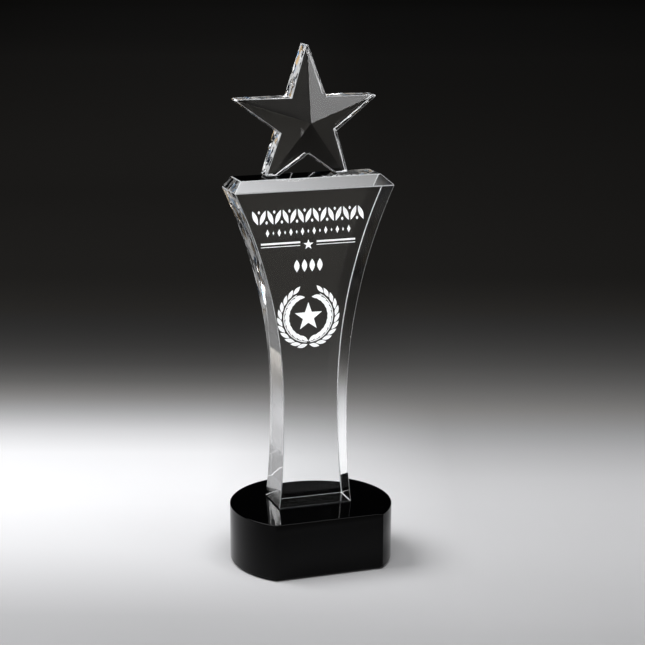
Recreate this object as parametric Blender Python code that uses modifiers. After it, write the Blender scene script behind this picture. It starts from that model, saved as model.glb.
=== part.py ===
"""Star trophy: a clear crystal star bonded on a flared crystal tower, on a black crystal base.

Metres, +Z up. The front faces -Y. The origin is on the table, under the middle of the outline.
"""

import math

import bmesh
import bpy
from mathutils import Matrix, Vector

# Base: a black disc with one flat cut across its front.
BASE_DIAMETER = 0.100
BASE_HEIGHT = 0.0346
BASE_FLAT_REACH = 0.0364  # from the disc's centre to the flat
BASE_ARRIS = 0.0006
DISC_SIDES = 128
PAD_THICKNESS = 0.0010
PAD_INSET = 0.0025

# Tower: a slab of one thickness with flared, hollowed sides.
TOWER_HEIGHT = 0.2017
TOWER_THICKNESS = 0.0277
TOWER_Y = -0.0017  # middle of the slab, from the middle of the outline
WAIST_WIDTH = 0.0406
WAIST_LEVEL = 0.062
FOOT_WIDTH = 0.0466
TOP_WIDTH = 0.0998
FOOT_POWER = 2.6
TOP_POWER = 2.1
CORNER_CUT = 0.0059
BEVEL_DROP = 0.0059  # front top edge, down the face
BEVEL_DEPTH = 0.0078  # front top edge, back along the top
SIDE_STEPS = 36
ARRIS = 0.0004

# Star: a regular five-point star with a low pyramid on its front.
STAR_RADIUS = 0.0473  # to a sharp tip
STAR_INNER_RADIUS = 0.0184
STAR_CENTRE_RISE = 0.0322  # above the tower's top
STAR_DEPTH = 0.0180  # back face to peak
STAR_TIP_THICKNESS = 0.0104
STAR_BACK_Y = 0.0112
TIP_BLUNTING = 0.0019

# Adhesive films under the tower and under the star's two feet.
GAP = 0.0003
FILM = 0.0003
FILM_MARGIN = 0.0012

RADIUS = BASE_DIAMETER / 2
DISC_Y = (BASE_FLAT_REACH - RADIUS) / 2
BASE_BOTTOM = PAD_THICKNESS + GAP
BASE_TOP = BASE_BOTTOM + BASE_HEIGHT
TOWER_FOOT = BASE_TOP + FILM + 2 * GAP
TOWER_TOP = TOWER_FOOT + TOWER_HEIGHT
STAR_FOOT = TOWER_TOP + FILM + 2 * GAP
STAR_CENTRE = TOWER_TOP + STAR_CENTRE_RISE


def clear_scene():
    for old in list(bpy.data.objects):
        bpy.data.objects.remove(old, do_unlink=True)


def new_collection(name):
    group = bpy.data.collections.new(name)
    bpy.context.scene.collection.children.link(group)
    return group


def make_material(name, colour, roughness, transmission=0.0):
    material = bpy.data.materials.new(name)
    material.use_nodes = True
    surface = material.node_tree.nodes["Principled BSDF"]
    surface.inputs["Base Color"].default_value = (*colour, 1.0)
    surface.inputs["Roughness"].default_value = roughness
    surface.inputs["Metallic"].default_value = 0.0
    surface.inputs["IOR"].default_value = 1.52
    surface.inputs["Transmission Weight"].default_value = transmission
    material.diffuse_color = (*colour, 1.0)
    return material


def crystal(name):
    return make_material(name, (0.96, 0.97, 0.97), 0.0, transmission=1.0)


def black_crystal(name):
    return make_material(name, (0.004, 0.004, 0.005), 0.03)


def adhesive(name):
    return make_material(name, (0.93, 0.94, 0.92), 0.1, transmission=1.0)


def black_felt(name):
    return make_material(name, (0.012, 0.012, 0.013), 0.95)


def add_object(name, mesh, group, material=None):
    piece = bpy.data.objects.new(name, mesh)
    group.objects.link(piece)
    if material:
        mesh.materials.clear()
        mesh.materials.append(material)
    return piece


def box_mesh(name, size_x, size_y, size_z):
    """A box round the origin with its scale already in the mesh."""
    mesh = bpy.data.meshes.new(name)
    shape = bmesh.new()
    bmesh.ops.create_cube(shape, size=1.0, matrix=Matrix.Diagonal((size_x, size_y, size_z, 1.0)))
    shape.to_mesh(mesh)
    shape.free()
    return mesh


def disc_mesh(name, radius, height):
    """An upright cylinder standing on z = 0."""
    mesh = bpy.data.meshes.new(name)
    shape = bmesh.new()
    bmesh.ops.create_cone(
        shape, cap_ends=True, segments=DISC_SIDES, radius1=radius, radius2=radius,
        depth=height, matrix=Matrix.Translation((0, 0, height / 2)),
    )
    shape.to_mesh(mesh)
    shape.free()
    return mesh


def add_cutter(name, mesh, group, location, rotation=(0, 0, 0)):
    cutter = add_object(name, mesh, group)
    cutter.location = location
    cutter.rotation_euler = rotation
    cutter.hide_render = True
    cutter.display_type = "WIRE"
    return cutter


def cut(piece, cutter, operation="DIFFERENCE"):
    step = piece.modifiers.new(cutter.name, "BOOLEAN")
    step.operation = operation
    step.solver = "EXACT"
    step.object = cutter
    return step


def ease_edges(piece, width, segments=1, angle=35):
    step = piece.modifiers.new("arris", "BEVEL")
    step.width = width
    step.segments = segments
    step.limit_method = "ANGLE"
    step.angle_limit = math.radians(angle)
    step.use_clamp_overlap = True
    return step


def plate(name, outline, thickness, group, material):
    """An upright plate: a flat outline in X and Z, extruded evenly along Y."""
    curve = bpy.data.curves.new(name + "_outline", "CURVE")
    curve.dimensions = "2D"
    curve.fill_mode = "BOTH"
    curve.extrude = thickness / 2
    spline = curve.splines.new("POLY")
    spline.points.add(len(outline) - 1)
    for point, (x, z) in zip(spline.points, outline):
        point.co = (x, z, 0, 1)
    spline.use_cyclic_u = True
    drawn = bpy.data.objects.new(name + "_outline", curve)
    group.objects.link(drawn)
    drawn.rotation_euler = (math.radians(90), 0, 0)
    bpy.context.view_layer.update()

    mesh = bpy.data.meshes.new_from_object(
        drawn.evaluated_get(bpy.context.evaluated_depsgraph_get())
    )
    mesh.transform(drawn.matrix_world)
    bpy.data.objects.remove(drawn, do_unlink=True)
    bpy.data.curves.remove(curve)

    shape = bmesh.new()
    shape.from_mesh(mesh)
    bmesh.ops.remove_doubles(shape, verts=shape.verts, dist=1e-5)
    bmesh.ops.recalc_face_normals(shape, faces=shape.faces)
    shape.to_mesh(mesh)
    shape.free()
    mesh.name = name
    return add_object(name, mesh, group, material)


def cut_front(piece, reach, name, cutters):
    """Take off everything in front of the base's flat, moved in or out by reach."""
    block = box_mesh(name, BASE_DIAMETER * 1.5, BASE_DIAMETER, BASE_HEIGHT * 3)
    cutter = add_cutter(
        name, block, cutters,
        (0, DISC_Y - BASE_FLAT_REACH + reach - BASE_DIAMETER / 2, BASE_HEIGHT / 2),
    )
    cut(piece, cutter)


def make_base_pad(parts, cutters):
    mesh = disc_mesh("base_pad", RADIUS - PAD_INSET, PAD_THICKNESS)
    pad = add_object("base_pad", mesh, parts, black_felt("black_felt"))
    pad.location = (0, DISC_Y, 0)
    cut_front(pad, PAD_INSET, "pad_front", cutters)


def make_base(parts, cutters):
    mesh = disc_mesh("base", RADIUS, BASE_HEIGHT)
    base = add_object("base", mesh, parts, black_crystal("black_crystal"))
    base.location = (0, DISC_Y, BASE_BOTTOM)
    cut_front(base, 0.0, "base_front", cutters)
    ease_edges(base, BASE_ARRIS)


def half_width(level):
    """Half the tower's width at a height above its foot.

    It is half the waist plus a power curve that grows away from the waist, one below it
    and a stronger one above it.
    """
    if level < WAIST_LEVEL:
        away = (WAIST_LEVEL - level) / WAIST_LEVEL
        return WAIST_WIDTH / 2 + (FOOT_WIDTH - WAIST_WIDTH) / 2 * away ** FOOT_POWER
    away = (level - WAIST_LEVEL) / (TOWER_HEIGHT - CORNER_CUT - WAIST_LEVEL)
    return WAIST_WIDTH / 2 + (TOP_WIDTH - WAIST_WIDTH) / 2 * away ** TOP_POWER


def tower_outline():
    shoulder = TOWER_HEIGHT - CORNER_CUT
    levels = [shoulder * step / SIDE_STEPS for step in range(SIDE_STEPS + 1)]
    right = [(half_width(level), level) for level in levels]
    right.append((TOP_WIDTH / 2 - CORNER_CUT, TOWER_HEIGHT))
    left = [(-x, z) for x, z in reversed(right)]
    return right + left


def make_tower(parts, cutters):
    tower = plate("tower", tower_outline(), TOWER_THICKNESS, parts, crystal("tower_crystal"))
    tower.location = (0, TOWER_Y, TOWER_FOOT)

    slope = math.atan2(BEVEL_DROP, BEVEL_DEPTH)
    run = math.hypot(BEVEL_DROP, BEVEL_DEPTH)
    depth = 0.02
    middle = Vector((0, TOWER_Y - TOWER_THICKNESS / 2 + BEVEL_DEPTH / 2, TOWER_TOP - BEVEL_DROP / 2))
    outward = Vector((0, -math.sin(slope), math.cos(slope)))
    wedge = box_mesh("front_bevel", TOP_WIDTH * 1.4, run * 3, depth)
    cut(tower, add_cutter("front_bevel", wedge, cutters, middle + outward * depth / 2, (slope, 0, 0)))
    ease_edges(tower, ARRIS)


def star_corner(turn, radius):
    """A point at a turn in fifths of a circle from straight up, clockwise seen from the front."""
    angle = math.radians(90 - 72 * turn)
    return Vector((radius * math.cos(angle), radius * math.sin(angle)))


def star_outline():
    """Going round from the top tip: blunt tips, inner corners, and two feet cut level."""
    foot = STAR_FOOT - STAR_CENTRE
    outline = []
    for turn in range(5):
        tip = star_corner(turn, STAR_RADIUS)
        before = star_corner(turn - 0.5, STAR_INNER_RADIUS)
        after = star_corner(turn + 0.5, STAR_INNER_RADIUS)
        for corner in (before, after):
            if turn in (2, 3):
                share = (foot - tip.y) / (corner.y - tip.y)
            else:
                share = TIP_BLUNTING / math.cos(math.radians(18)) / (corner - tip).length
            outline.append(tip.lerp(corner, share))
        outline.append(after)
    return [(point.x, point.y) for point in outline]


def make_star(parts, cutters):
    star = plate("star", star_outline(), STAR_DEPTH * 1.2, parts, crystal("star_crystal"))
    front_y = STAR_BACK_Y - STAR_DEPTH
    star.location = (0, STAR_BACK_Y - STAR_DEPTH * 0.6, STAR_CENTRE)

    # A five-sided cone lying along Y, peak forward, gives the front its five facets.
    fall = (STAR_DEPTH - STAR_TIP_THICKNESS) / STAR_RADIUS
    mesh = bpy.data.meshes.new("star_facets")
    shape = bmesh.new()
    bmesh.ops.create_cone(
        shape, cap_ends=True, segments=5, radius1=STAR_DEPTH / fall, radius2=0.0, depth=STAR_DEPTH,
    )
    tips = [vert for vert in shape.verts if abs(vert.co.z + STAR_DEPTH / 2) < 1e-6]
    first = min(tips, key=lambda vert: abs(vert.co.x) - vert.co.y)
    turn = math.atan2(first.co.x, first.co.y)
    bmesh.ops.rotate(shape, verts=shape.verts, matrix=Matrix.Rotation(turn, 3, "Z"))
    shape.to_mesh(mesh)
    shape.free()
    cone = add_cutter(
        "star_facets", mesh, cutters, (0, front_y + STAR_DEPTH / 2, STAR_CENTRE),
        (math.radians(90), 0, 0),
    )
    cut(star, cone, "INTERSECT")
    ease_edges(star, ARRIS, angle=40)


def make_tower_bond(parts):
    mesh = box_mesh(
        "tower_bond", FOOT_WIDTH - 2 * FILM_MARGIN, TOWER_THICKNESS - 2 * FILM_MARGIN, FILM
    )
    film = add_object("tower_bond", mesh, parts, adhesive("tower_adhesive"))
    film.location = (0, TOWER_Y, BASE_TOP + GAP + FILM / 2)


def make_star_bonds(parts):
    """A small film under each foot, as wide as the level cut less a margin."""
    outline = star_outline()
    foot = [x for x, z in outline if abs(z - (STAR_FOOT - STAR_CENTRE)) < 1e-7 and x > 0]
    width = max(foot) - min(foot) - FILM_MARGIN
    middle = (max(foot) + min(foot)) / 2
    depth = STAR_TIP_THICKNESS - FILM_MARGIN
    for side, name in ((-1, "star_bond_left"), (1, "star_bond_right")):
        film = add_object(name, box_mesh(name, width, depth, FILM), parts, adhesive(name))
        film.location = (side * middle, STAR_BACK_Y - STAR_TIP_THICKNESS / 2, TOWER_TOP + GAP + FILM / 2)


def main():
    clear_scene()
    parts = new_collection("star_trophy")
    cutters = new_collection("star_trophy_cutters")
    make_base_pad(parts, cutters)
    make_base(parts, cutters)
    make_tower_bond(parts)
    make_tower(parts, cutters)
    make_star_bonds(parts)
    make_star(parts, cutters)
    bpy.context.view_layer.update()


main()
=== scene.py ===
import math

import bmesh
import bpy
import numpy as np
from mathutils import Matrix, Vector


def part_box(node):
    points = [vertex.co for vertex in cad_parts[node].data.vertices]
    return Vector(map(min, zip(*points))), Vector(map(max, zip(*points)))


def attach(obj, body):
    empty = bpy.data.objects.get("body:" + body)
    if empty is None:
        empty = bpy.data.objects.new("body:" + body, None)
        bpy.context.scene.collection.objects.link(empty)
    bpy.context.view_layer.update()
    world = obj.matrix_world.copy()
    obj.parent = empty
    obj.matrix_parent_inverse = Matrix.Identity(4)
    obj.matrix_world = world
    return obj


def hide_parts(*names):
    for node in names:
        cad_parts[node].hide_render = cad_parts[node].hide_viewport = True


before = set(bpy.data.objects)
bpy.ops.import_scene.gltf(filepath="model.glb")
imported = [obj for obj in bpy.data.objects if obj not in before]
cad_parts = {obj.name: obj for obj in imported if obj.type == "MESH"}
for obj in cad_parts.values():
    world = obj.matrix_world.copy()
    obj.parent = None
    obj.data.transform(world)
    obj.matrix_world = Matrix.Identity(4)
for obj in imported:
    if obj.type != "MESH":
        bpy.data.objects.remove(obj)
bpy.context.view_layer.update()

towerLow, towerHigh = (np.array(corner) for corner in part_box("tower"))
starLow, starHigh = (np.array(corner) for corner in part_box("star"))
baseLow, baseHigh = (np.array(corner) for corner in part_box("base"))
print("frame loaded:", ", ".join(sorted(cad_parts)))


def meshPiece(name, points, faces, material):
    mesh = bpy.data.meshes.new(name)
    mesh.from_pydata(np.asarray(points).reshape(-1, 3).tolist(), [], faces)
    mesh.validate()
    piece = bpy.data.objects.new(name, mesh)
    bpy.context.scene.collection.objects.link(piece)
    if material:
        mesh.materials.append(material)
    return piece


def bandFaces(rings, around, start=0):
    # quads between neighbouring closed rings of the same count, as one array
    row = np.arange(rings - 1)[:, None] * around
    here = np.arange(around)[None, :]
    after = (here + 1) % around
    quads = np.stack([row + here, row + after, row + around + after, row + around + here], -1)
    return (quads.reshape(-1, 4) + start).tolist()


def easeEdges(piece, width, steps, angle, edgeMaterial):
    # takes the sharp edges off, gives the new faces their own finish, and keeps the result
    piece.data.materials.append(edgeMaterial)
    bevel = piece.modifiers.new("arris", "BEVEL")
    bevel.width = width
    bevel.segments = steps
    bevel.material = 1
    bevel.limit_method = "ANGLE"
    bevel.angle_limit = math.radians(angle)
    bevel.use_clamp_overlap = True
    bpy.context.view_layer.update()
    eased = bpy.data.meshes.new_from_object(
        piece.evaluated_get(bpy.context.evaluated_depsgraph_get()))
    piece.modifiers.clear()
    rough = piece.data
    piece.data = eased
    bpy.data.meshes.remove(rough)
    eased.name = piece.name


def addFinish(piece, material):
    # one more material on a piece: gives back its slot's number
    piece.data.materials.append(material)
    return len(piece.data.materials) - 1


def faceOut(piece):
    shape = bmesh.new()
    shape.from_mesh(piece.data)
    bmesh.ops.recalc_face_normals(shape, faces=shape.faces)
    shape.to_mesh(piece.data)
    shape.free()


def shadeBy(piece, angle):
    piece.data.shade_smooth()
    piece.data.set_sharp_from_angle(angle=math.radians(angle))


def newMaterial(name):
    material = bpy.data.materials.new(name)
    material.use_nodes = True
    nodes = material.node_tree.nodes
    nodes.clear()
    return material, nodes, material.node_tree.links


def addNode(nodes, kind, **values):
    node = nodes.new(kind)
    for key, value in values.items():
        setattr(node, key, value)
    return node


def objectNoise(nodes, links, scale, detail=3.0, stretch=(1.0, 1.0, 1.0), roughness=0.5):
    where = addNode(nodes, "ShaderNodeTexCoord")
    place = addNode(nodes, "ShaderNodeMapping")
    place.inputs["Scale"].default_value = stretch
    noise = addNode(nodes, "ShaderNodeTexNoise")
    noise.inputs["Scale"].default_value = scale
    noise.inputs["Detail"].default_value = detail
    noise.inputs["Roughness"].default_value = roughness
    links.new(where.outputs["Object"], place.inputs["Vector"])
    links.new(place.outputs["Vector"], noise.inputs["Vector"])
    return noise.outputs["Fac"]


def remap(nodes, links, value, low, high, toLow, toHigh):
    span = addNode(nodes, "ShaderNodeMapRange", clamp=True)
    limits = {"From Min": low, "From Max": high, "To Min": toLow, "To Max": toHigh}
    for key, number in limits.items():
        span.inputs[key].default_value = number
    links.new(value, span.inputs["Value"])
    return span.outputs["Result"]


def mixColours(nodes, links, factor, first, second):
    mix = addNode(nodes, "ShaderNodeMix", data_type="RGBA")
    mix.inputs["A"].default_value = (*first, 1.0)
    mix.inputs["B"].default_value = (*second, 1.0)
    links.new(factor, mix.inputs["Factor"])
    return mix.outputs["Result"]


def principled(nodes, links, **values):
    surface = addNode(nodes, "ShaderNodeBsdfPrincipled")
    for key, value in values.items():
        surface.inputs[key.replace("_", " ")].default_value = value
    out = addNode(nodes, "ShaderNodeOutputMaterial")
    links.new(surface.outputs["BSDF"], out.inputs["Surface"])
    return surface


crystal = {
    "ior": 1.52,
    "clear": (0.985, 0.99, 0.99),
    "streak": (0.955, 0.965, 0.965),
    # colours of the painted prism glints on the side walls' flats
    "paintedWarmGlint": (1.0, 0.70, 0.38),
    "paintedBlueGlint": (0.40, 0.65, 1.0),
    "groundPale": (0.80, 0.81, 0.82),
    "groundDull": (0.50, 0.52, 0.54),
    "groundClear": 0.35,      # how much of a ground edge still lets light through
    "warmFrom": 0.93,         # the few flats whose random red is above this get a painted warm glint
    "blueFrom": 0.92,         # and those whose random green is above this a painted blue glint
    "highlightFrom": (0.48, 0.66),     # random blue below the first is clearest, above the second gets the most painted highlight
    "glintHighlightShare": 0.6,         # a glint is painted this share as pale as the palest flat
    "rimBlend": 0.003,
    "gritScale": 900.0,
    "gritRoughness": (0.22, 0.42),
    "softGloss": 0.42,        # bare crystal would be 1: the large flat faces are toned down most,
    "fullGloss": 0.8,         # the facets and the bevel a little
}


def crystalMaterial(name, gloss):
    material, nodes, links = newMaterial(name)
    surface = principled(nodes, links, Roughness=0.0, IOR=crystal["ior"],
                         Transmission_Weight=1.0, Specular_Tint=(gloss, gloss, gloss, 1.0))
    wipe = objectNoise(nodes, links, 60.0, 4.0, (1.0, 1.0, 0.35))
    tint = mixColours(nodes, links, remap(nodes, links, wipe, 0.35, 0.75, 0.0, 1.0),
                      crystal["clear"], crystal["streak"])
    links.new(tint, surface.inputs["Base Color"])
    return material


def mathNode(nodes, links, operation, *values):
    # a Math node whose inputs are sockets or numbers
    node = addNode(nodes, "ShaderNodeMath", operation=operation)
    for socket, value in zip(node.inputs, values):
        if isinstance(value, (int, float)):
            socket.default_value = value
        else:
            links.new(value, socket)
    return node.outputs["Value"]


def colourRamp(nodes, links, value, stops):
    # straight runs between (place, colour) stops
    low, high = stops[0][0], stops[-1][0]
    ramp = addNode(nodes, "ShaderNodeValToRGB")
    points = ramp.color_ramp.elements
    while len(points) < len(stops):
        points.new(0.5)
    for point, (place, colour) in zip(points, stops):
        point.position = (place - low) / (high - low)
        point.color = (*colour, 1.0)
    links.new(remap(nodes, links, value, low, high, 0.0, 1.0), ramp.inputs["Fac"])
    return ramp.outputs["Color"]


def polishedWallWithPaintedLight(name, finish):
    # side walls are polished by hand on a wheel: faintly wavy. Over that, light is painted into the
    # colour: a diffuse share that brightens the wall by height, and near the rim small slanting flats,
    # some painted pale as highlights, some clear, a few painted warm or blue as a prism's glints. The
    # rim is where y + rimSlope * z passes rimStart
    material, nodes, links = newMaterial(name)
    surface = principled(nodes, links, Roughness=0.0, IOR=crystal["ior"])
    where = addNode(nodes, "ShaderNodeTexCoord")
    slant = addNode(nodes, "ShaderNodeMapping")
    slant.inputs["Rotation"].default_value = (math.radians(finish["slant"]), 0.0, 0.0)
    slant.inputs["Scale"].default_value = (1.0, 1.0, finish["stretch"])
    links.new(where.outputs["Object"], slant.inputs["Vector"])
    flats = addNode(nodes, "ShaderNodeTexVoronoi", feature="F1")
    flats.inputs["Scale"].default_value = finish["flats"]
    links.new(slant.outputs["Vector"], flats.inputs["Vector"])
    place = addNode(nodes, "ShaderNodeSeparateXYZ")
    links.new(where.outputs["Object"], place.inputs["Vector"])
    rise = mathNode(nodes, links, "MULTIPLY_ADD", place.outputs["Z"], finish["rimSlope"],
                    place.outputs["Y"])
    rim = remap(nodes, links, rise, finish["rimStart"], finish["rimStart"] + crystal["rimBlend"],
                0.0, 1.0)
    centred = addNode(nodes, "ShaderNodeVectorMath", operation="SUBTRACT")
    centred.inputs[1].default_value = (0.5, 0.5, 0.5)
    links.new(flats.outputs["Color"], centred.inputs[0])
    tilt = addNode(nodes, "ShaderNodeVectorMath", operation="SCALE")
    links.new(centred.outputs["Vector"], tilt.inputs[0])
    links.new(mathNode(nodes, links, "MULTIPLY", rim, finish["tilt"]), tilt.inputs["Scale"])
    upright = addNode(nodes, "ShaderNodeNewGeometry")
    leant = addNode(nodes, "ShaderNodeVectorMath", operation="ADD")
    links.new(upright.outputs["Normal"], leant.inputs[0])
    links.new(tilt.outputs["Vector"], leant.inputs[1])
    unit = addNode(nodes, "ShaderNodeVectorMath", operation="NORMALIZE")
    links.new(leant.outputs["Vector"], unit.inputs[0])
    bump = addNode(nodes, "ShaderNodeBump")
    bump.inputs["Strength"].default_value = 1.0
    bump.inputs["Distance"].default_value = finish["waveDepth"]
    wave = objectNoise(nodes, links, finish["wave"], 1.5, (1.0, 1.0, 0.6))
    links.new(wave, bump.inputs["Height"])
    links.new(unit.outputs["Vector"], bump.inputs["Normal"])
    links.new(bump.outputs["Normal"], surface.inputs["Normal"])
    pick = addNode(nodes, "ShaderNodeSeparateColor")
    links.new(flats.outputs["Color"], pick.inputs["Color"])
    # flats picked at random get a painted warm or blue glint
    warm = mathNode(nodes, links, "MULTIPLY", rim, remap(
        nodes, links, pick.outputs["Red"], crystal["warmFrom"], crystal["warmFrom"] + 0.01, 0.0, 1.0))
    blue = mathNode(nodes, links, "MULTIPLY", rim, remap(
        nodes, links, pick.outputs["Green"], crystal["blueFrom"], crystal["blueFrom"] + 0.01, 0.0, 1.0))
    tinted = addNode(nodes, "ShaderNodeMix", data_type="RGBA")
    links.new(mixColours(nodes, links, warm, crystal["clear"], crystal["paintedWarmGlint"]),
              tinted.inputs["A"])
    tinted.inputs["B"].default_value = (*crystal["paintedBlueGlint"], 1.0)
    links.new(blue, tinted.inputs["Factor"])
    links.new(tinted.outputs["Result"], surface.inputs["Base Color"])
    # painted highlight: each flat's share of white diffuse, from clear to palest
    pale = remap(nodes, links, pick.outputs["Blue"], *crystal["highlightFrom"], *finish["flatHighlight"])
    glint = mathNode(nodes, links, "MAXIMUM", warm, blue)
    glintHighlight = mathNode(nodes, links, "MULTIPLY", glint,
                         finish["flatHighlight"][1] * crystal["glintHighlightShare"])
    pale = mathNode(nodes, links, "MAXIMUM", pale, glintHighlight)
    even = mathNode(nodes, links, "SUBTRACT", 1.0, rim)
    # painted light on the wall away from the rim, its level set by height
    wallLightStops = [(level, (amount, amount, amount)) for level, amount in finish["paintedWallLight"]]
    rising = colourRamp(nodes, links, place.outputs["Z"], wallLightStops)
    paintedWallLight = mathNode(nodes, links, "ADD", mathNode(nodes, links, "MULTIPLY", pale, rim),
                    mathNode(nodes, links, "MULTIPLY", even, rising))
    links.new(mathNode(nodes, links, "SUBTRACT", 1.0, paintedWallLight), surface.inputs["Transmission Weight"])
    return material


def groundEdgeMaterial(name):
    # the arrises are ground with a fine stone, so they scatter the light as thin white lines
    material, nodes, links = newMaterial(name)
    surface = principled(nodes, links, IOR=crystal["ior"],
                         Transmission_Weight=crystal["groundClear"])
    grit = objectNoise(nodes, links, crystal["gritScale"], 3.0)
    links.new(remap(nodes, links, grit, 0.3, 0.7, *crystal["gritRoughness"]),
              surface.inputs["Roughness"])
    links.new(mixColours(nodes, links, grit, crystal["groundPale"], crystal["groundDull"]),
              surface.inputs["Base Color"])
    return material


tower = {
    "waistWidth": 0.0406,
    "waistLevel": 0.062,
    "footWidth": 0.0466,
    "topWidth": 0.0998,
    "footPower": 2.6,
    "topPower": 2.1,
    "cornerCut": 0.0059,
    "bevelDrop": 0.0059,
    "bevelDepth": 0.0078,
    "height": 0.2017,
    "sideSteps": 170,
    "arris": 0.0004,
    # painted light: the left wall is painted lighter than the right, its level by height, its rim flats
    # painted pale or as glints
    "leftSide": {"paintedWallLight": ((0.040, 0.0), (0.044, 0.26), (0.070, 0.30), (0.080, 0.20), (0.112, 0.05),
                          (0.130, 0.05), (0.137, 0.24), (0.240, 0.24)),
                 "flatHighlight": (0.01, 0.36), "wave": 150.0, "waveDepth": 0.00006,
                 "flats": 300.0, "stretch": 0.4, "slant": 28, "tilt": 0.30,
                 "rimSlope": 0.6, "rimStart": 0.096},
    "rightSide": {"paintedWallLight": ((0.0, 0.0), (1.0, 0.01)), "flatHighlight": (0.0, 0.01), "wave": 150.0,
                  "waveDepth": 0.00005, "flats": 150.0, "stretch": 0.6, "slant": 24, "tilt": 0.0,
                  "rimSlope": 0.6, "rimStart": 0.096},
    # the left corner cut: tilted flats painted pale or as glints
    "cornerFlat": {"paintedWallLight": ((0.0, 0.0), (1.0, 0.01)), "flatHighlight": (0.0, 0.16), "wave": 150.0,
                   "waveDepth": 0.00005, "flats": 420.0, "stretch": 0.5, "slant": -35, "tilt": 0.45,
                   "rimSlope": 0.0, "rimStart": -1.0},
    "seat": 0.00006,      # clear of the base's top
}


def halfWidth(level):
    # half the waist, plus a power of how far the level is below or above the waist
    below = np.clip((tower["waistLevel"] - level) / tower["waistLevel"], 0, 1)
    above = np.clip((level - tower["waistLevel"])
                    / (tower["height"] - tower["cornerCut"] - tower["waistLevel"]), 0, 1)
    flareFoot = (tower["footWidth"] - tower["waistWidth"]) / 2 * below ** tower["footPower"]
    flareTop = (tower["topWidth"] - tower["waistWidth"]) / 2 * above ** tower["topPower"]
    return tower["waistWidth"] / 2 + flareFoot + flareTop


def buildTower():
    # the side profile swept across the thickness: one ring of the outline at the front,
    # leaning back above the bevel's foot, and one at the back
    foot = baseHigh[2] + tower["seat"]
    top = towerHigh[2]
    shoulder = tower["height"] - tower["cornerCut"]
    bevelFoot = top - tower["bevelDrop"]
    level = np.linspace(foot - towerLow[2], shoulder, tower["sideSteps"])
    right = np.stack([halfWidth(np.maximum(level, 0)), level + towerLow[2]], -1)
    right[-1, 1] = bevelFoot
    cutEnd = np.array([[tower["topWidth"] / 2 - tower["cornerCut"], top]])
    right = np.concatenate([right, cutEnd])
    left = right[::-1] * (-1, 1)
    outline = np.concatenate([right, left])
    count = len(outline)
    rise = np.clip((outline[:, 1] - bevelFoot) / tower["bevelDrop"], 0, 1)
    frontY = towerLow[1] + tower["bevelDepth"] * rise
    front = np.stack([outline[:, 0], frontY, outline[:, 1]], -1)
    back = np.stack([outline[:, 0], np.full(count, towerHigh[1]), outline[:, 1]], -1)
    half = len(right)
    mainFace = list(range(0, half - 1)) + list(range(half + 1, count))
    bevelFace = [half - 2, half - 1, half, half + 1]
    faces = bandFaces(2, count) + [mainFace, bevelFace, list(range(count, 2 * count))[::-1]]
    piece = meshPiece("towerCrystal", np.concatenate([front, back]), faces,
                      crystalMaterial("towerCrystal", crystal["softGloss"]))
    faceOut(piece)
    easeEdges(piece, tower["arris"], steps=1, angle=12,
              edgeMaterial=groundEdgeMaterial("groundArris"))
    shadeBy(piece, 8)
    bonded = addFinish(piece, bondedMaterial("bondedFoot"))
    leftSide = addFinish(piece, polishedWallWithPaintedLight("leftTowerSide", tower["leftSide"]))
    rightSide = addFinish(piece, polishedWallWithPaintedLight("rightTowerSide", tower["rightSide"]))
    glossy = addFinish(piece, crystalMaterial("towerBevel", crystal["fullGloss"]))
    corner = addFinish(piece, polishedWallWithPaintedLight("cornerFlat", tower["cornerFlat"]))
    # the left side wall gets the painted light and glints, the right one stays nearly clear
    for face in piece.data.polygons:
        way = face.normal
        plain = face.material_index == 0      # the ground arrises keep theirs
        if way.z < -0.9:
            face.material_index = bonded
        elif plain and abs(way.y) < 0.3 and way.z < 0.5:
            face.material_index = leftSide if way.x < 0 else rightSide
        elif plain and way.x < -0.5 and way.z > 0.5:
            face.material_index = corner
        elif plain and way.z > 0.3:
            face.material_index = glossy
    piece.visible_shadow = False      # so that the lights reach the base and paper through it
    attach(piece, "root")
    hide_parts("tower")
    print("tower:", len(piece.data.polygons), "faces")


def bondedMaterial(name):
    # the glued foot: the clear film lets the black below show, so nothing is mirrored back
    material, nodes, links = newMaterial(name)
    surface = principled(nodes, links, Roughness=1.0, Specular_IOR_Level=0.0)
    blotch = objectNoise(nodes, links, 220.0, 2.0)
    links.new(mixColours(nodes, links, blotch, (0.0003, 0.0003, 0.0004), (0.0015, 0.0015, 0.0017)),
              surface.inputs["Base Color"])
    return material


engraving = {
    "clear": 0.00003,         # off the back face
    "depth": 0.00010,
    "sideways": 0.0013,       # the artwork as a whole sits this far to the right
    "withinFrom": 0.0130,     # outlines centred farther right than this lie within the face
    "glow": 0.28,
    "grainScale": 1400.0,
    "frostWhite": (1.0, 1.0, 1.0),
    "frostGrey": (0.80, 0.81, 0.82),
    "friezeLevel": 0.2140, "friezeReach": 0.0335, "friezeLeaves": 15,
    "friezeLeaf": (0.0094, 0.0028), "friezeLean": 22,
    "seed": (0.0022, 0.0015), "seedRise": 0.0032,
    "beadLevel": 0.2043, "beadReach": 0.0258, "beads": 15, "bead": (0.0046, 0.0022),
    "ruleLevels": (0.1972, 0.1956), "ruleHeights": (0.0011, 0.0004), "ruleSpan": (0.0052, 0.0300),
    "smallStar": (0.1960, 0.0033),
    "quartetLevel": 0.1832, "quartetStep": 0.0049, "quartetLeaf": (0.0078, 0.0034),
    "wreathLevel": 0.1511, "wreathRadius": 0.0160, "wreathLeaves": 11, "wreathStem": 0.0005,
    "wreathLeaf": (0.0068, 0.0024), "wreathStar": 0.0092, "starWaist": 0.40,
    "stemArc": (-86, 62), "leafArc": (-78, 66), "leafOffset": 0.0024, "leafSplay": 24,
}


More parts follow.
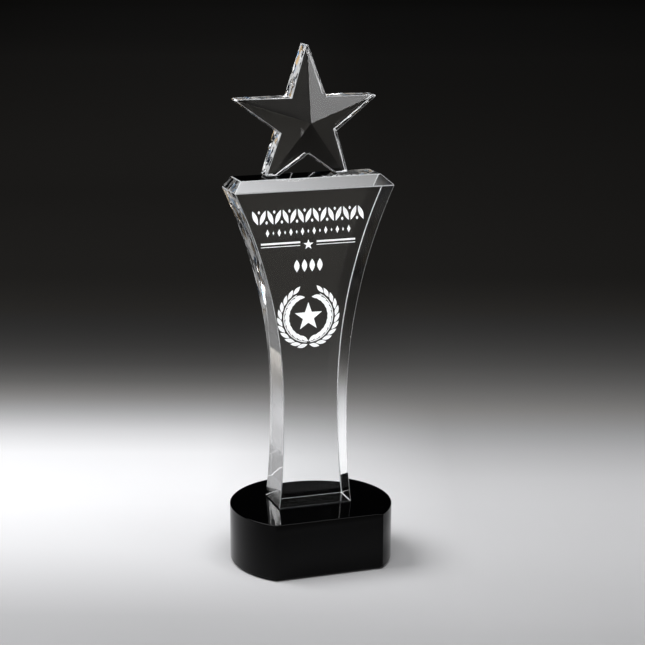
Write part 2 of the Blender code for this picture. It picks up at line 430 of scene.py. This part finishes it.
def leafOutline(length, width, centre, lean, steps=10):
    # half the width follows the sine of the way along; the whole is leant and moved to its place
    way = np.linspace(0, 1, steps + 1)
    half = width / 2 * np.sin(np.pi * way)
    side = np.stack([half, (way - 0.5) * length], -1)
    outline = np.concatenate([side, side[-2:0:-1] * (-1, 1)])
    turn = math.radians(lean)
    spin = np.array([[math.cos(turn), -math.sin(turn)], [math.sin(turn), math.cos(turn)]])
    return outline @ spin + centre


def starOutline(radius, centre):
    # ten points, far and near in turn round a circle
    turn = np.radians(90 - 36 * np.arange(10))
    reach = np.where(np.arange(10) % 2 == 0, radius, radius * engraving["starWaist"])
    return np.stack([np.cos(turn), np.sin(turn)], -1) * reach[:, None] + centre


def barOutline(start, end, level, height):
    return np.array([(start, level), (end, level), (end, level + height), (start, level + height)])


def friezeOutlines():
    # leaves leaning left and right in turn, with a seed between each pair
    leaves, reach = engraving["friezeLeaves"], engraving["friezeReach"]
    places = np.linspace(-reach, reach, leaves)
    outlines = []
    for index, place in enumerate(places):
        side = 1 if index % 2 else -1
        outlines.append(leafOutline(*engraving["friezeLeaf"], (place, engraving["friezeLevel"]),
                                    side * engraving["friezeLean"]))
        seed = (place + (places[1] - places[0]) / 2,
                engraving["friezeLevel"] - side * engraving["seedRise"])
        if index < leaves - 1:
            outlines.append(leafOutline(*engraving["seed"], seed, 0, 6))
    return outlines


def beadOutlines():
    # long and short lozenges in turn
    outlines = []
    long, wide = engraving["bead"]
    for index, place in enumerate(np.linspace(-engraving["beadReach"], engraving["beadReach"],
                                              engraving["beads"])):
        size = (long, wide) if index % 2 == 0 else (long / 2, wide / 2)
        outlines.append(leafOutline(*size, (place, engraving["beadLevel"]), 0, 2))
    return outlines


def ruleOutlines():
    start, end = engraving["ruleSpan"]
    outlines = []
    for level, height in zip(engraving["ruleLevels"], engraving["ruleHeights"]):
        outlines += [barOutline(start, end, level, height), barOutline(-end, -start, level, height)]
    level, radius = engraving["smallStar"]
    return outlines + [starOutline(radius, (0, level))]


def quartetOutlines():
    return [leafOutline(*engraving["quartetLeaf"], (step * engraving["quartetStep"],
                                                    engraving["quartetLevel"]), 0)
            for step in (-1.5, -0.5, 0.5, 1.5)]


def wreathOutlines():
    # two stems bent round a circle from the bottom, each with leaves inside and outside it
    radius, level = engraving["wreathRadius"], engraving["wreathLevel"]
    bend = np.radians(np.linspace(*engraving["stemArc"], 40))
    arc = np.stack([np.cos(bend), np.sin(bend)], -1)
    stem = np.concatenate([arc * radius, arc[::-1] * (radius - engraving["wreathStem"])])
    outlines = [starOutline(engraving["wreathStar"], (0, level))]
    for side in (1, -1):
        outlines.append(stem * (side, 1) + (0, level))
        for place in np.linspace(*engraving["leafArc"], engraving["wreathLeaves"]):
            turn = math.radians(place)
            for outward in (1, -1):
                reach = radius + outward * engraving["leafOffset"]
                centre = (side * reach * math.cos(turn), level + reach * math.sin(turn))
                outlines.append(leafOutline(*engraving["wreathLeaf"], centre,
                                            side * (outward * engraving["leafSplay"] - place)))
    return outlines


def engrave(name, outlines, material):
    # each flat outline becomes a thin closed plate: to the right they lie just within the back
    # face, elsewhere just behind it, so that neither side wall mirrors them a second time
    points, faces, start = [], [], 0
    for outline in outlines:
        count = len(outline)
        within = outline[:, 0].mean() > engraving["withinFrom"]
        frontY = towerHigh[1] + engraving["clear"]
        if within:
            frontY = towerHigh[1] - engraving["clear"] - engraving["depth"]
        backY = frontY + engraving["depth"]
        for depth in (frontY, backY):
            points.append(np.insert(outline + (engraving["sideways"], 0), 1, depth, axis=1))
        faces += bandFaces(2, count, start)
        faces += [list(range(start, start + count))[::-1],
                  list(range(start + count, start + 2 * count))]
        start += 2 * count
    piece = meshPiece(name, np.concatenate(points), faces, material)
    faceOut(piece)
    piece.visible_glossy = False      # hidden from mirror rays, which would repeat it in the walls
    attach(piece, "root")


def frostMaterial(name):
    # a faint glow stands in for the light that blasted crystal gathers from inside the block
    material, nodes, links = newMaterial(name)
    surface = principled(nodes, links, Roughness=0.7, Emission_Strength=engraving["glow"])
    grain = objectNoise(nodes, links, engraving["grainScale"], 4.0)
    tone = mixColours(nodes, links, grain, engraving["frostWhite"], engraving["frostGrey"])
    links.new(tone, surface.inputs["Base Color"])
    links.new(tone, surface.inputs["Emission Color"])
    return material


def buildEngraving():
    frost = frostMaterial("blastedFrost")
    engrave("leafFrieze", friezeOutlines(), frost)
    engrave("beadRow", beadOutlines(), frost)
    engrave("starredRules", ruleOutlines(), frost)
    engrave("leafQuartet", quartetOutlines(), frost)
    engrave("laurelWreath", wreathOutlines(), frost)
    print("engraving cut")


star = {
    "radius": 0.0473,
    "innerRadius": 0.0184,
    "depth": 0.0180,
    "tipThickness": 0.0104,
    "blunting": 0.0019,
    "arris": 0.0003,
    # the left walls' flats carry painted highlights and glints, the right ones hardly any
    "leftSide": {"paintedWallLight": ((0.0, 0.0), (1.0, 0.01)), "flatHighlight": (0.0, 0.55), "wave": 230.0,
                 "waveDepth": 0.00005, "flats": 330.0, "stretch": 0.6, "slant": 25, "tilt": 0.20,
                 "rimSlope": 0.0, "rimStart": -1.0},
    "rightSide": {"paintedWallLight": ((0.0, 0.0), (1.0, 0.01)), "flatHighlight": (0.0, 0.05), "wave": 230.0,
                  "waveDepth": 0.0001, "flats": 260.0, "stretch": 0.6, "slant": 25, "tilt": 0.10,
                  "rimSlope": 0.0, "rimStart": -1.0},
    "centreRise": 0.0322,
}


def buildStar():
    # five tips and five inner corners; the front lies on the five planes of a low pyramid:
    # y = peak + fall * (the farthest reach of the point along any facet's middle line)
    centreZ = towerHigh[2] + star["centreRise"]
    foot = starLow[2] - centreZ
    turn = np.radians(90 - 72 * np.arange(5))
    tipWay = np.stack([np.cos(turn), np.sin(turn)], -1)
    innerTurn = turn - np.radians(36)
    innerWay = np.stack([np.cos(innerTurn), np.sin(innerTurn)], -1)
    sharp = tipWay * star["radius"]
    inner = innerWay * star["innerRadius"]
    beforeInner = np.roll(inner, 1, axis=0)
    share = np.full(5, star["blunting"] / star["radius"])
    share[2:4] = 1 - foot / sharp[2:4, 1]
    middle = sharp * (1 - share)[:, None]

    def onEdge(corner):
        # where the edge from a sharp tip to an inner corner crosses the blunt or level cut
        way = corner - sharp
        cutWay = np.where((np.arange(5)[:, None] == 2) | (np.arange(5)[:, None] == 3),
                          np.array([[0.0, 1.0]]), tipWay)
        reach = ((middle - sharp) * cutWay).sum(1) / (way * cutWay).sum(1)
        return sharp + way * reach[:, None]

    before, after = onEdge(beforeInner), onEdge(inner)
    ring = np.stack([before, middle, after, inner], 1).reshape(-1, 2)
    fall = (star["depth"] - star["tipThickness"]) / (star["radius"] * math.cos(math.radians(36)))
    reach = (ring @ innerWay.T).max(axis=1)
    peakY = starHigh[1] - star["depth"]
    count = len(ring)
    front = np.stack([ring[:, 0], peakY + fall * reach, ring[:, 1] + centreZ], -1)
    back = np.stack([ring[:, 0], np.full(count, starHigh[1]), ring[:, 1] + centreZ], -1)
    peak = np.array([[0, peakY, centreZ]])
    index = np.arange(5) * 4
    facets = np.stack([np.full(5, 2 * count), index + 1, index + 2, index + 3,
                       (index + 4) % count, (index + 5) % count], -1)
    faces = bandFaces(2, count) + facets.tolist() + [list(range(count, 2 * count))[::-1]]
    piece = meshPiece("starCrystal", np.concatenate([front, back, peak]), faces,
                      crystalMaterial("starCrystal", crystal["fullGloss"]))
    faceOut(piece)
    easeEdges(piece, star["arris"], steps=1, angle=30,
              edgeMaterial=groundEdgeMaterial("groundStarArris"))
    leftSide = addFinish(piece, polishedWallWithPaintedLight("leftStarSide", star["leftSide"]))
    rightSide = addFinish(piece, polishedWallWithPaintedLight("rightStarSide", star["rightSide"]))
    backFace = addFinish(piece, crystalMaterial("starBack", crystal["softGloss"]))
    # the left side walls get the painted highlights, the right ones hardly any
    for face in piece.data.polygons:
        way = face.normal
        plain = face.material_index == 0
        if plain and abs(way.y) < 0.1:
            face.material_index = leftSide if way.x < -0.2 else rightSide
        elif plain and way.y > 0.9:
            face.material_index = backFace
    shadeBy(piece, 4)
    piece.visible_shadow = False
    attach(piece, "root")
    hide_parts("star")
    print("star:", len(piece.data.polygons), "faces")


base = {
    "radius": 0.050,
    "flatReach": 0.0364,
    "arris": 0.0006,
    "arcSteps": 260,
    "flatSteps": 24,
    "gloss": 0.11,
    "black": (0.0004, 0.0004, 0.0005),
    "dust": (0.10, 0.10, 0.10),
    "dustScale": 260.0,
    "dustSize": (0.03, 0.07),
    "dustFrom": (0.93, 0.95),     # only the few cells above this hold a speck
}


def discRing(inset):
    # a circle from one end of the flat round to the other, then the flat, as one ring of points
    radius = base["radius"] - inset
    reach = base["flatReach"] - inset
    corner = math.acos(reach / radius)
    arc = np.linspace(corner, 2 * math.pi - corner, base["arcSteps"])
    arcPoints = np.stack([np.sin(arc), -np.cos(arc)], -1) * radius
    share = np.linspace(0, 1, base["flatSteps"] + 2)[1:-1, None]
    flatPoints = arcPoints[-1] * (1 - share) + arcPoints[0] * share
    discY = (base["flatReach"] - base["radius"]) / 2
    return np.concatenate([arcPoints, flatPoints]) + (0, discY)


def buildBase():
    # the edge profile carried round the disc: upright wall, a quarter round at each rim, and
    # a narrow flat ring that keeps the round's shading off the flat top
    bottom, top, ease = baseLow[2], baseHigh[2], base["arris"]
    turn = np.linspace(0, math.pi / 2, 4)
    rise = ease * (1 - np.cos(turn))
    inset = ease * (1 - np.sin(turn))
    insets = np.concatenate([[2 * ease], inset, inset[::-1], [2 * ease]])
    levels = np.concatenate([[bottom], bottom + rise, top - rise[::-1], [top]])
    rings = [np.column_stack([discRing(i), np.full(base["arcSteps"] + base["flatSteps"], z)])
             for i, z in zip(insets, levels)]
    count = len(rings[0])
    last = (len(rings) - 1) * count
    faces = bandFaces(len(rings), count)
    faces += [list(range(count))[::-1], list(range(last, last + count))]
    piece = meshPiece("baseBlock", np.concatenate(rings), faces, blackCrystal("blackCrystal"))
    faceOut(piece)
    shadeBy(piece, 35)
    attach(piece, "root")
    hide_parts("base")
    print("base:", len(piece.data.polygons), "faces")


def blackCrystal(name):
    material, nodes, links = newMaterial(name)
    surface = principled(nodes, links, IOR=crystal["ior"], Specular_IOR_Level=base["gloss"])
    smear = objectNoise(nodes, links, 45.0, 4.0, (1.0, 1.0, 2.0))
    links.new(remap(nodes, links, smear, 0.3, 0.8, 0.012, 0.04), surface.inputs["Roughness"])
    where = addNode(nodes, "ShaderNodeTexCoord")
    specks = addNode(nodes, "ShaderNodeTexVoronoi", feature="F1")
    specks.inputs["Scale"].default_value = base["dustScale"]
    links.new(where.outputs["Object"], specks.inputs["Vector"])
    near = remap(nodes, links, specks.outputs["Distance"], *base["dustSize"], 1.0, 0.0)
    chosen = addNode(nodes, "ShaderNodeSeparateColor")
    links.new(specks.outputs["Color"], chosen.inputs["Color"])
    few = remap(nodes, links, chosen.outputs["Red"], *base["dustFrom"], 0.0, 0.6)
    dusty = mathNode(nodes, links, "MULTIPLY", near, few)
    links.new(mixColours(nodes, links, dusty, base["black"], base["dust"]),
              surface.inputs["Base Color"])
    return material


felt = {"fibreScale": 1500.0, "dark": (0.006, 0.006, 0.007), "light": (0.03, 0.03, 0.032)}
adhesive = {"flowScale": 400.0, "ior": 1.5, "clear": (0.97, 0.98, 0.96), "dull": (0.9, 0.91, 0.88)}


def feltMaterial(name):
    material, nodes, links = newMaterial(name)
    surface = principled(nodes, links, Roughness=0.95, Specular_IOR_Level=0.15, Sheen_Weight=0.4)
    fibre = objectNoise(nodes, links, felt["fibreScale"], 4.0, (1.0, 1.0, 0.5))
    links.new(mixColours(nodes, links, fibre, felt["dark"], felt["light"]),
              surface.inputs["Base Color"])
    bump = addNode(nodes, "ShaderNodeBump")
    bump.inputs["Strength"].default_value = 0.5
    bump.inputs["Distance"].default_value = 0.0002
    links.new(fibre, bump.inputs["Height"])
    links.new(bump.outputs["Normal"], surface.inputs["Normal"])
    return material


def adhesiveMaterial(name):
    material, nodes, links = newMaterial(name)
    surface = principled(nodes, links, IOR=adhesive["ior"], Transmission_Weight=1.0)
    flow = objectNoise(nodes, links, adhesive["flowScale"], 2.0)
    links.new(remap(nodes, links, flow, 0.3, 0.7, 0.0, 0.12), surface.inputs["Roughness"])
    links.new(mixColours(nodes, links, flow, adhesive["clear"], adhesive["dull"]),
              surface.inputs["Base Color"])
    return material


def dressFrameNodes():
    cloth = feltMaterial("blackFelt")
    glue = adhesiveMaterial("clearAdhesive")
    for node, material in (("base_pad", cloth), ("tower_bond", glue),
                           ("star_bond_left", glue), ("star_bond_right", glue)):
        data = bpy.data.objects[node].data
        data.materials.clear()
        data.materials.append(material)
    print("felt and adhesive dressed")


studio = {
    "floorReach": 9.0,
    "lookWay": (0.3288, 0.9444),      # flat direction in which the painted shade on the paper deepens
    "acrossWay": (0.9444, -0.3288),
    "blend": (-0.07, 0.10),           # across this stretch the left tones pass into the right ones
    # how far along, then how pale the paper is painted on the left and on the right: light and shade
    # painted into its colour
    "nearPaintedLight": ((-2.6, 0.03, 0.03), (-1.5, 0.50, 0.60), (-0.9, 0.70, 0.85), (-0.6, 0.60, 0.62),
                  (-0.45, 0.45, 0.34), (-0.35, 0.40, 0.25), (-0.25, 0.40, 0.32),
                  (-0.2, 0.42, 0.50), (-0.15, 0.40, 0.43), (-0.1, 0.44, 0.49),
                  (0.0, 0.70, 0.58), (0.1, 0.86, 0.62)),
    "farPaintedLight": ((1.3, 0.03, 0.03), (3.0, 0.14, 0.09), (4.5, 0.05, 0.03)),
    # between them painted shade darkens the paper: its density rises from one place on, is half its
    # full depth one "over" further, and levels off
    "fade": ({"pale": 0.86, "from": 0.16, "over": 0.24, "power": 2.7, "depth": 1.8},
             {"pale": 0.62, "from": 0.10, "over": 0.38, "power": 2.2, "depth": 1.9}),
    "fadeSteps": (0.15, 0.80, 14),
    "hueStretch": (-0.3, 0.63),
    "coolAbove": 0.3,
    "cool": (1.0, 1.0, 1.012),
    "plain": (1.02, 1.0, 0.97),
    "warm": (1.06, 1.0, 0.91),
    "paperEdge": (1.10, 1.20),        # past this the paper has ended
    "edgeLean": -0.1,
    "pastEdge": 0.03,
    "key": {"place": (-0.62, 0.25, 0.92), "size": (0.75, 0.75), "radiance": 6.4,
            "aim": (-0.12, 0.10, 0.0)},
    "topFill": {"place": (0.05, -0.52, 1.30), "size": (1.0, 1.0), "radiance": 3.5,
                "aim": (0.0, 0.0, 0.0)},
    "frontRight": {"place": (0.86, -1.35, 0.43), "size": (0.46, 0.46), "radiance": 5.2,
                   "aim": (0.0, 0.0, 0.27)},
    "frontFill": {"place": (0.52, -1.93, 0.78), "size": (0.9, 0.5), "radiance": 0.20,
                  "aim": (0.0, 0.0, 0.15)},
    "backStrip": {"place": (1.85, 4.9, 0.69), "size": (2.6, 0.50), "radiance": 0.40,
                  "aim": (0.0, 0.0, 0.12)},
    "daylight": (0.99, 0.99, 1.0),
    "worldLevel": 0.002,
}


def flatReach(nodes, links, way):
    # distance over the floor in one flat direction
    where = addNode(nodes, "ShaderNodeTexCoord")
    along = addNode(nodes, "ShaderNodeVectorMath", operation="DOT_PRODUCT")
    along.inputs[1].default_value = (*way, 0.0)
    links.new(where.outputs["Object"], along.inputs[0])
    return along.outputs["Value"]


def fadedTone(reach, fade):
    risen = (max(reach - fade["from"], 0.0) / fade["over"]) ** fade["power"]
    return fade["pale"] * 10 ** (-fade["depth"] * risen / (1 + risen))


def paperHue(reach, level):
    start, end = studio["hueStretch"]
    if not start < reach < end:
        return studio["warm"]
    return studio["cool"] if level > studio["coolAbove"] else studio["plain"]


def toneRamp(nodes, links, along, side):
    # side is 0 for the left and 1 for the right
    # the painted light and shade along the floor, for one side
    near = [(tone[0], tone[side + 1]) for tone in studio["nearPaintedLight"]]
    far = [(tone[0], tone[side + 1]) for tone in studio["farPaintedLight"]]
    fade = studio["fade"][side]
    middle = [(reach, fadedTone(reach, fade)) for reach in np.linspace(*studio["fadeSteps"])]
    stops = [(reach, tuple(level * part for part in paperHue(reach, level)))
             for reach, level in near + middle + far]
    return colourRamp(nodes, links, along, stops)


def backdropMaterial(name):
    # painted light and shade: the paper is paler where the light pools, mostly darker on the right, in
    # front and far back; it is also tinted cool, plain or warm by place and level
    material, nodes, links = newMaterial(name)
    surface = principled(nodes, links, Roughness=0.9, Specular_IOR_Level=0.05)
    along = flatReach(nodes, links, studio["lookWay"])
    across = flatReach(nodes, links, studio["acrossWay"])
    sides = addNode(nodes, "ShaderNodeMix", data_type="RGBA")
    links.new(toneRamp(nodes, links, along, 0), sides.inputs["A"])
    links.new(toneRamp(nodes, links, along, 1), sides.inputs["B"])
    links.new(remap(nodes, links, across, *studio["blend"], 0.0, 1.0), sides.inputs["Factor"])
    lean = mathNode(nodes, links, "MULTIPLY_ADD", along, studio["edgeLean"], across)
    paper = addNode(nodes, "ShaderNodeVectorMath", operation="SCALE")
    links.new(sides.outputs["Result"], paper.inputs[0])
    links.new(remap(nodes, links, lean, *studio["paperEdge"], 1.0, studio["pastEdge"]),
              paper.inputs["Scale"])
    links.new(paper.outputs["Vector"], surface.inputs["Base Color"])
    return material


def buildFloor():
    reach = studio["floorReach"]
    points = [(-reach, -reach, 0), (reach, -reach, 0), (reach, reach, 0), (-reach, reach, 0)]
    floor = meshPiece("paleFloor", points, [[0, 1, 2, 3]], backdropMaterial("paperWithPaintedLight"))
    print("floor laid")


def addSoftbox(name, settings):
    # an area light with an even glow: its power is radiance * pi * width * height
    width, height = settings["size"]
    light = bpy.data.lights.new(name, "AREA")
    light.shape = "RECTANGLE"
    light.size, light.size_y = width, height
    light.energy = settings["radiance"] * math.pi * width * height
    light.color = studio["daylight"]
    lamp = bpy.data.objects.new(name, light)
    bpy.context.scene.collection.objects.link(lamp)
    lamp.location = settings["place"]
    way = Vector(settings["aim"]) - lamp.location
    lamp.rotation_euler = way.to_track_quat("-Z", "Y").to_euler()


def lightStudio():
    world = bpy.data.worlds.new("darkStudio")
    world.use_nodes = True
    level = studio["worldLevel"]
    world.node_tree.nodes["Background"].inputs["Color"].default_value = (level, level, level, 1.0)
    bpy.context.scene.world = world
    addSoftbox("keySoftbox", studio["key"])
    addSoftbox("topFillSoftbox", studio["topFill"])
    addSoftbox("frontRightSoftbox", studio["frontRight"])
    addSoftbox("frontFillCard", studio["frontFill"])
    addSoftbox("backStripCard", studio["backStrip"])
    bpy.context.scene.view_settings.view_transform = "Standard"
    print("studio lit")


camera = {
    "place": (-0.3590, -1.0594, 0.4243),
    "forward": (0.31918, 0.91687, -0.23974),
    "roll": 0.156,
    "lens": 105.65,
    "sensor": 36.0,
}


def placeCamera():
    lens = bpy.data.cameras.new("studioCamera")
    lens.lens = camera["lens"]
    lens.sensor_width = camera["sensor"]
    view = bpy.data.objects.new("studioCamera", lens)
    bpy.context.scene.collection.objects.link(view)
    turn = Vector(camera["forward"]).to_track_quat("-Z", "Y").to_matrix().to_4x4()
    roll = Matrix.Rotation(math.radians(camera["roll"]), 4, "Z")
    view.matrix_world = Matrix.Translation(camera["place"]) @ turn @ roll
    bpy.context.scene.camera = view
    print("camera placed")


buildTower()
buildEngraving()
buildStar()
buildBase()
dressFrameNodes()
buildFloor()
lightStudio()
placeCamera()
